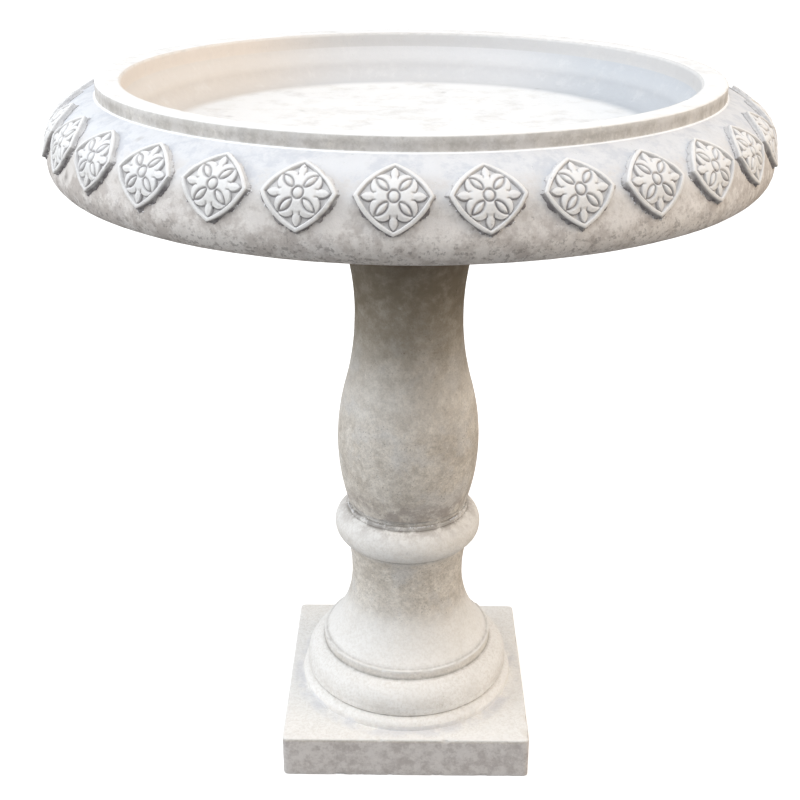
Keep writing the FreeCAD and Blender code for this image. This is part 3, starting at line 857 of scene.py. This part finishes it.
def grain_group():
    """The sandy skin of cast stone with pin holes, as a normal."""
    tree, given, result = group("sandy_grain", "ShaderNodeTree", [
        (VECTOR, "Vector"), (FLOAT, "Strength")], (VECTOR, "Normal"))
    place = given["Vector"]
    coarse = noise(tree, place, 5.0, 5.0, 0.7, 41.0)
    sand = noise(tree, place, 1.1, 2.0, 0.6, 43.0)
    holes = node(tree, "ShaderNodeTexVoronoi", {"Vector": place, "Scale": 160.0}, "Distance")
    few = band(tree, noise(tree, place, 12.0, 2.0, seed=47.0), 0.56, 0.66)
    height = maths(tree, "MULTIPLY_ADD", sand, 0.3, coarse)
    height = maths(tree, "SUBTRACT", height, times(tree, band(tree, holes, 0.05, 0.2, 1.0, 0.0), few))
    bump = {"Strength": given["Strength"], "Distance": 0.8 * MM, "Height": height}
    feed(tree, result, node(tree, "ShaderNodeBump", bump))
    return tree


def new_finish(name, roughness):
    """A new material, its node tree, its shader and the place on the object."""
    material = bpy.data.materials.new(name)
    material.use_nodes = True
    tree = material.node_tree
    shader = tree.nodes["Principled BSDF"]
    shader.inputs["Roughness"].default_value = roughness
    return material, tree, shader, node(tree, "ShaderNodeTexCoord", output="Object")


worn_stone = (0.85, 0.84, 0.82)


class Looks:
    """The shared groups, and the one recipe by which each stone's finish is mixed."""

    def __init__(self):
        self.mottling = mottling_group()
        self.bloom_and_sky_light = bloom_and_light_group()
        self.wash_and_shade = wash_and_shade_group()
        self.grain = grain_group()

    def stone(self, name, light, dark, cool, bloom_and_sky_light, wash_and_shade, specks=0.6, bloom_and_light_amount=0.85, wash_and_shade_amount=0.8,
              grain=0.5, touch=None):
        material, tree, shader, place = new_finish(name, 0.88)
        edge = node(tree, "ShaderNodeAttribute", output="Fac", attribute_name="edge")
        hollow = node(tree, "ShaderNodeAttribute", output="Fac", attribute_name="hollow")
        facing = node(tree, "ShaderNodeNewGeometry", output="Normal")
        upward = node(tree, "ShaderNodeSeparateXYZ", {0: facing}, "Z")
        colour = use(tree, self.mottling, {"Vector": place, "Light": light, "Dark": dark, "Cool": cool,
                                           "Specks": specks})
        # paler colour on faces that look up: partly lime, partly painted sky light
        colour = use(tree, self.bloom_and_sky_light, {"Vector": place, "Color": colour, "Bloom": bloom_and_sky_light,
                                        "Amount": bloom_and_light_amount, "Upward": upward})
        if touch:
            colour = touch(tree, place, colour)
        # dirt and painted shade in hollows, paler wear on edges
        colour = use(tree, self.wash_and_shade, {"Vector": place, "Color": colour, "Wash": wash_and_shade,
                                       "Wash amount": wash_and_shade_amount, "Wear": worn_stone, "Wear amount": 0.5,
                                       "Edge": edge, "Hollow": hollow, "Upward": upward})
        feed(tree, shader.inputs["Base Color"], colour)
        feed(tree, shader.inputs["Normal"], use(tree, self.grain, {"Vector": place, "Strength": grain}))
        shader.inputs["Specular IOR Level"].default_value = 0.25
        return material


def radius_and_height(tree, place):
    """Distance from the axis and height in millimetres, and the three coordinates in metres."""
    parts = tree.nodes.new("ShaderNodeSeparateXYZ")
    feed(tree, parts.inputs[0], place)
    squares = maths(tree, "MULTIPLY_ADD", parts.outputs[0], parts.outputs[0],
                    maths(tree, "MULTIPLY", parts.outputs[1], parts.outputs[1]))
    return (maths(tree, "DIVIDE", maths(tree, "SQRT", squares), MM),
            maths(tree, "DIVIDE", parts.outputs[2], MM), parts.outputs)


def strip(tree, value, low, high, soft):
    """1 between two values, fading to 0 outside them."""
    return times(tree, band(tree, value, low - soft, low), band(tree, value, high, high + soft, 1.0, 0.0))


def bowl_touch(tree, place, colour):
    """Dull upright fascia, a lime line at its foot, painted shade and painted warm light in the basin, and
    painted shade with speckled grit on the lower side.
    """
    radius, height, parts = radius_and_height(tree, place)
    across = maths(tree, "DIVIDE", parts[0], MM)
    fascia_foot = rim_top - fascia_height
    wall_foot = rim_top - lip_fall - lip_wall
    inner = rim_radius - lip_width
    ragged = noise(tree, place, 7.0, 4.0, 0.7, 61.0)
    patches = noise(tree, place, 17.0, 5.0, 0.72, 65.0)
    wide = noise(tree, place, 40.0, 3.0, 0.6, 63.0)
    # painted shade on the basin's slope and inner wall, with painted warm light on the left and bluer painted
    # shade on the right
    inside = times(tree, band(tree, radius, floor_radius - 12, floor_radius + 6),
                   band(tree, radius, inner + 1, inner + 2, 1.0, 0.0))
    left = band(tree, across, -60.0, -190.0)
    right = band(tree, across, 90.0, 210.0)
    slope = blend(tree, left, (0.66, 0.665, 0.68), (0.71, 0.66, 0.61))
    slope = blend(tree, right, slope, (0.53, 0.56, 0.6))
    wall = blend(tree, left, (0.58, 0.58, 0.585), (0.73, 0.66, 0.595))
    painted_basin_shading = blend(tree, band(tree, height, wall_foot - 0.6, wall_foot + 0.6), slope, wall)
    colour = stain(tree, colour, painted_basin_shading, inside, band(tree, patches, 0.3, 0.5, 0.75, 0.95))
    outer = band(tree, radius, rim_radius, rim_radius + 3)
    upper = times(tree, outer, band(tree, height, underside + 40, underside + 62))
    colour = stain(tree, colour, (0.6, 0.625, 0.675), upper, band(tree, patches, 0.38, 0.56, 0.95, 0.6))
    middle = times(tree, outer, strip(tree, height, underside + 34, underside + 58, 8.0))
    colour = stain(tree, colour, (0.6, 0.575, 0.56), middle, band(tree, patches, 0.46, 0.62), 0.55)
    fascia = times(tree, strip(tree, height, fascia_foot + 1.0, rim_top - 1.5, 1.0),
                   band(tree, radius, rim_radius - 3, rim_radius - 2))
    drab = blend(tree, band(tree, patches, 0.4, 0.6), (0.42, 0.4, 0.375), (0.57, 0.55, 0.53))
    colour = stain(tree, colour, drab, fascia, band(tree, ragged, 0.3, 0.6, 0.4, 0.9))
    low = maths(tree, "MULTIPLY_ADD", wide, 22.0, height)
    # painted shade on the lower outer side, laid in mottled patches
    shade = times(tree, outer, band(tree, low, underside + 34, underside + 80, 1.0, 0.0))
    shaded = blend(tree, band(tree, patches, 0.4, 0.58), (0.51, 0.465, 0.44), (0.8, 0.765, 0.74))
    colour = stain(tree, colour, shaded, shade, 0.75)
    hem = times(tree, outer, band(tree, low, underside + 20, underside + 48, 1.0, 0.0))
    grit = band(tree, noise(tree, place, 3.2, 3.0, 0.7, 67.0), 0.52, 0.62)
    colour = stain(tree, colour, (0.2, 0.18, 0.17), hem, grit, 0.6)
    line = times(tree, strip(tree, height, fascia_foot - 0.7, fascia_foot + 0.4, 0.4),
                 strip(tree, radius, rim_radius, rim_radius + 1.4, 0.6))
    return stain(tree, colour, (0.93, 0.95, 0.98), line, band(tree, ragged, 0.32, 0.5, 0.3, 1.0))


def pedestal_touch(tree, place, colour):
    """Painted shade under the bowl, bleached mouldings, and smudges where they meet."""
    radius, height, _ = radius_and_height(tree, place)
    ragged = noise(tree, place, 12.0, 4.0, 0.7, 71.0)
    streak = noise(tree, place, 30.0, 4.0, 0.6, 73.0)
    uneven = band(tree, streak, 0.3, 0.6, 0.6, 1.0)
    grain = noise(tree, place, 2.4, 4.0, 0.7, 77.0)
    bleached = blend(tree, band(tree, grain, 0.36, 0.6), (0.83, 0.805, 0.77), (0.97, 0.96, 0.94))
    for low, high, soft, share in ((plinth_height + 1, torus_top, 4.0, 0.95),
                                   (band_top + 1, neck - 45, 25.0, 0.6),
                                   (collar - 16, base_top, 6.0, 0.75)):
        colour = stain(tree, colour, bleached, strip(tree, height, low, high, soft), uneven, share)
    patches = noise(tree, place, 11.0, 6.0, 0.8, 75.0)
    face = band(tree, height, plinth_height - 5, plinth_height - 1.5, 0.85, 0.0)
    mauve = blend(tree, band(tree, patches, 0.38, 0.6), (0.51, 0.475, 0.465), (0.75, 0.72, 0.705))
    colour = blend(tree, face, colour, mauve)
    smudge = times(tree, strip(tree, radius, bead_radius - 1, bead_radius + 5, 10.0),
                   strip(tree, height, plinth_height - 1, plinth_height + 5, 2.0))
    colour = stain(tree, colour, (0.66, 0.67, 0.715), smudge, band(tree, streak, 0.4, 0.6), 0.5)
    # painted shade of the bowl on the column, ragged, darkest close under the bowl
    ragged_height = maths(tree, "MULTIPLY_ADD", streak, 60.0, height)
    painted_shade_under_bowl = band(tree, ragged_height, column_top - 200, column_top - 60)
    colour = stain(tree, colour, (0.225, 0.19, 0.14), painted_shade_under_bowl, band(tree, ragged, 0.3, 0.6, 0.75, 1.0))
    darkest_painted_shade = band(tree, ragged_height, column_top - 90, column_top + 10)
    colour = stain(tree, colour, (0.095, 0.074, 0.053), darkest_painted_shade, 0.9)
    # darker round the column's foot
    darker_foot = strip(tree, height, foot, foot + 12, 22.0)
    colour = stain(tree, colour, (0.36, 0.315, 0.29), darker_foot, band(tree, ragged, 0.4, 0.6), 0.7)
    joint = strip(tree, height, base_top - 4, foot + 2, 1.5)
    return stain(tree, colour, (0.3, 0.28, 0.26), joint, band(tree, ragged, 0.38, 0.58), 0.8)


def metal(name, colour, roughness):
    material, tree, shader, place = new_finish(name, roughness)
    painted_basin_shading = tuple(0.7 * part for part in colour)
    feed(tree, shader.inputs["Base Color"], blend(tree, noise(tree, place, 6.0), painted_basin_shading, colour))
    shader.inputs["Metallic"].default_value = 1.0
    return material


def rubber():
    material, tree, shader, place = new_finish("black_rubber", 0.8)
    dusty = blend(tree, noise(tree, place, 9.0), (0.02, 0.02, 0.02), (0.06, 0.06, 0.06))
    feed(tree, shader.inputs["Base Color"], dusty)
    return material


# ---- build ----
looks = Looks()
weathered = weathering_tree()
bowl_finish = looks.stone("bowl_finish", (0.74, 0.71, 0.66), (0.5, 0.465, 0.42), (0.62, 0.64, 0.69),
                          (0.92, 0.925, 0.93), (0.22, 0.2, 0.19), specks=0.75, bloom_and_light_amount=0.95, grain=0.7,
                          touch=bowl_touch)
pedestal_finish = looks.stone("pedestal_finish", (0.77, 0.725, 0.66), (0.61, 0.56, 0.495),
                              (0.69, 0.69, 0.69), (0.92, 0.915, 0.9), (0.2, 0.18, 0.16), specks=0.75,
                              bloom_and_light_amount=1.0, grain=0.8, touch=pedestal_touch)
plaque_finish = looks.stone("plaque_finish", (0.78, 0.775, 0.76), (0.68, 0.665, 0.65), (0.73, 0.74, 0.78),
                            (0.83, 0.835, 0.845), (0.17, 0.155, 0.165), specks=0.3, wash_and_shade_amount=0.9)
crumb_finish = looks.stone("crumb_finish", (0.8, 0.8, 0.8), (0.55, 0.54, 0.54), (0.7, 0.72, 0.76),
                           (0.9, 0.9, 0.92), (0.3, 0.29, 0.3), specks=0.4)
mortar_finish = looks.stone("mortar_finish", (0.72, 0.7, 0.66), (0.45, 0.42, 0.38), (0.6, 0.6, 0.6),
                            (0.75, 0.75, 0.73), (0.15, 0.14, 0.13), specks=0.9, grain=0.9)
hidden = {"bedding_mortar": mortar_finish, "seat_gasket": rubber(),
          "locating_dowel": metal("galvanised_bar", (0.6, 0.61, 0.62), 0.45)}
cast_in = metal("mild_steel", (0.34, 0.27, 0.22), 0.6)
for name in ("plinth_hoop", "base_bars", "column_bars", "column_ties", "bowl_rim_hoop", "bowl_floor_hoops",
             "bowl_spokes"):
    hidden[name] = cast_in
for name, finish in hidden.items():
    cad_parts[name].material_slots[0].material = finish

big = {"Wave": 0.9, "Skin": 0.45, "Chips": 1.6, "Holes": 1.2, "Hole spacing": 34.0}
bowl = turned_casting(bowl_outline(), bowl_softening, BOWL_ROWS, AROUND)
under_fascia = np.abs(bowl.points[:, 2] - (rim_top - fascia_height)) < 4.0
bowl.values["hollow"][under_fascia] = 0.0
bowl.piece("bowl_casting", weathered, dict(big, Chips=0.5, Holes=0.0, Seed=1.0), bowl_finish,
           "basin", "bowl_stone", "bowl")
column = turned_casting(column_outline(), column_softening, COLUMN_ROWS, AROUND_SLIM)
column.piece("column_casting", weathered, dict(big, Seed=2.0), pedestal_finish,
             "pedestal", "pedestal_stone", "vase_column")
base = base_casting()
base.piece("base_casting", weathered, dict(big, Seed=3.0), pedestal_finish,
           "pedestal", "pedestal_stone", "pedestal_base")
seams = make_plaques(weathered, plaque_finish)
crumbly = crumbs_tree()
crumbs("plaque_crumbs", seams, crumbly, {"Size": 1.3, "Share": 0.16, "Clump": 26.0, "Seed": 4},
       crumb_finish, "basin", "plaque_stone")
turns = np.arange(AROUND) * 2 * math.pi / AROUND
reach = ring_radius - 0.6
joint = np.stack([reach * np.cos(turns), reach * np.sin(turns), np.full(AROUND, base_top)], axis=1)
crumbs("joint_crumbs", joint, crumbly, {"Size": 1.0, "Share": 0.6, "Clump": 25.0, "Seed": 9},
       crumb_finish, "pedestal", "pedestal_stone")


# ---- studio ----

camera_place = (0.0, -1.1735, 0.8756)
camera_turns = (-0.41, 23.54, 0.27)  # pan, tilt and roll, degrees
camera_lens = 57.7
sky_strength = 0.68
floor_glow = 0.45
floor_return = (0.3, 0.3, 0.3)
floor_half = 40.0


def camera():
    """Stands before the bath, above its rim, looking down on the bowl."""
    pan, tilt, roll = (math.radians(angle) for angle in camera_turns)
    ahead = Vector((math.sin(pan) * math.cos(tilt), math.cos(pan) * math.cos(tilt), -math.sin(tilt)))
    level = Vector((math.cos(pan), -math.sin(pan), 0))
    up = level.cross(ahead)
    right = level * math.cos(roll) + up * math.sin(roll)
    up = up * math.cos(roll) - level * math.sin(roll)
    data = bpy.data.cameras.new("camera")
    data.lens = camera_lens
    data.sensor_width = 36.0
    made = placed("camera", data)
    matrix = Matrix((right, up, -ahead)).transposed().to_4x4()
    matrix.translation = Vector(camera_place)
    made.matrix_world = matrix
    bpy.context.scene.camera = made


def floor():
    """A pale floor: it looks nearly white, and throws only a little light back up."""
    mesh = bpy.data.meshes.new("floor")
    half = floor_half
    corners = [(-half, -half, 0), (half, -half, 0), (half, half, 0), (-half, half, 0)]
    mesh.from_pydata(corners, [], [(0, 1, 2, 3)])
    material, tree, shader, place = new_finish("floor_paper", 1.0)
    seen = node(tree, "ShaderNodeLightPath", output="Is Camera Ray")
    paper = blend(tree, noise(tree, place, 200.0), (0.985, 0.985, 0.985), (1.0, 1.0, 1.0))
    feed(tree, shader.inputs["Base Color"], blend(tree, seen, floor_return, paper))
    shader.inputs["Specular IOR Level"].default_value = 0.0
    feed(tree, shader.inputs["Emission Color"], paper)
    feed(tree, shader.inputs["Emission Strength"], times(tree, seen, floor_glow))
    mesh.materials.append(material)
    made = placed("floor", mesh)


def lamp(name, place, size, power, colour):
    data = bpy.data.lights.new(name, "AREA")
    data.shape = "SQUARE"
    data.size = size
    data.energy = power
    data.color = colour
    made = placed(name, data)
    made.location = place
    made.rotation_mode = "QUATERNION"
    made.rotation_quaternion = (Vector((0, 0, 0.4)) - Vector(place)).to_track_quat("-Z", "Y")


def sky():
    world = bpy.data.worlds.new("sky")
    bpy.context.scene.world = world
    world.use_nodes = True
    background = world.node_tree.nodes["Background"]
    background.inputs["Color"].default_value = (0.98, 0.99, 1.0, 1)
    background.inputs["Strength"].default_value = sky_strength


camera()
floor()
sky()
lamp("warm_side", (2.5, -0.5, 1.5), 1.8, 28, (1.0, 0.76, 0.5))
lamp("cool_side", (-2.5, -0.5, 1.5), 1.8, 40, (0.94, 0.97, 1.0))
lamp("overhead", (0.0, -1.0, 2.4), 1.6, 15, (0.97, 0.98, 1.0))
bpy.context.scene.view_settings.view_transform = "Standard"
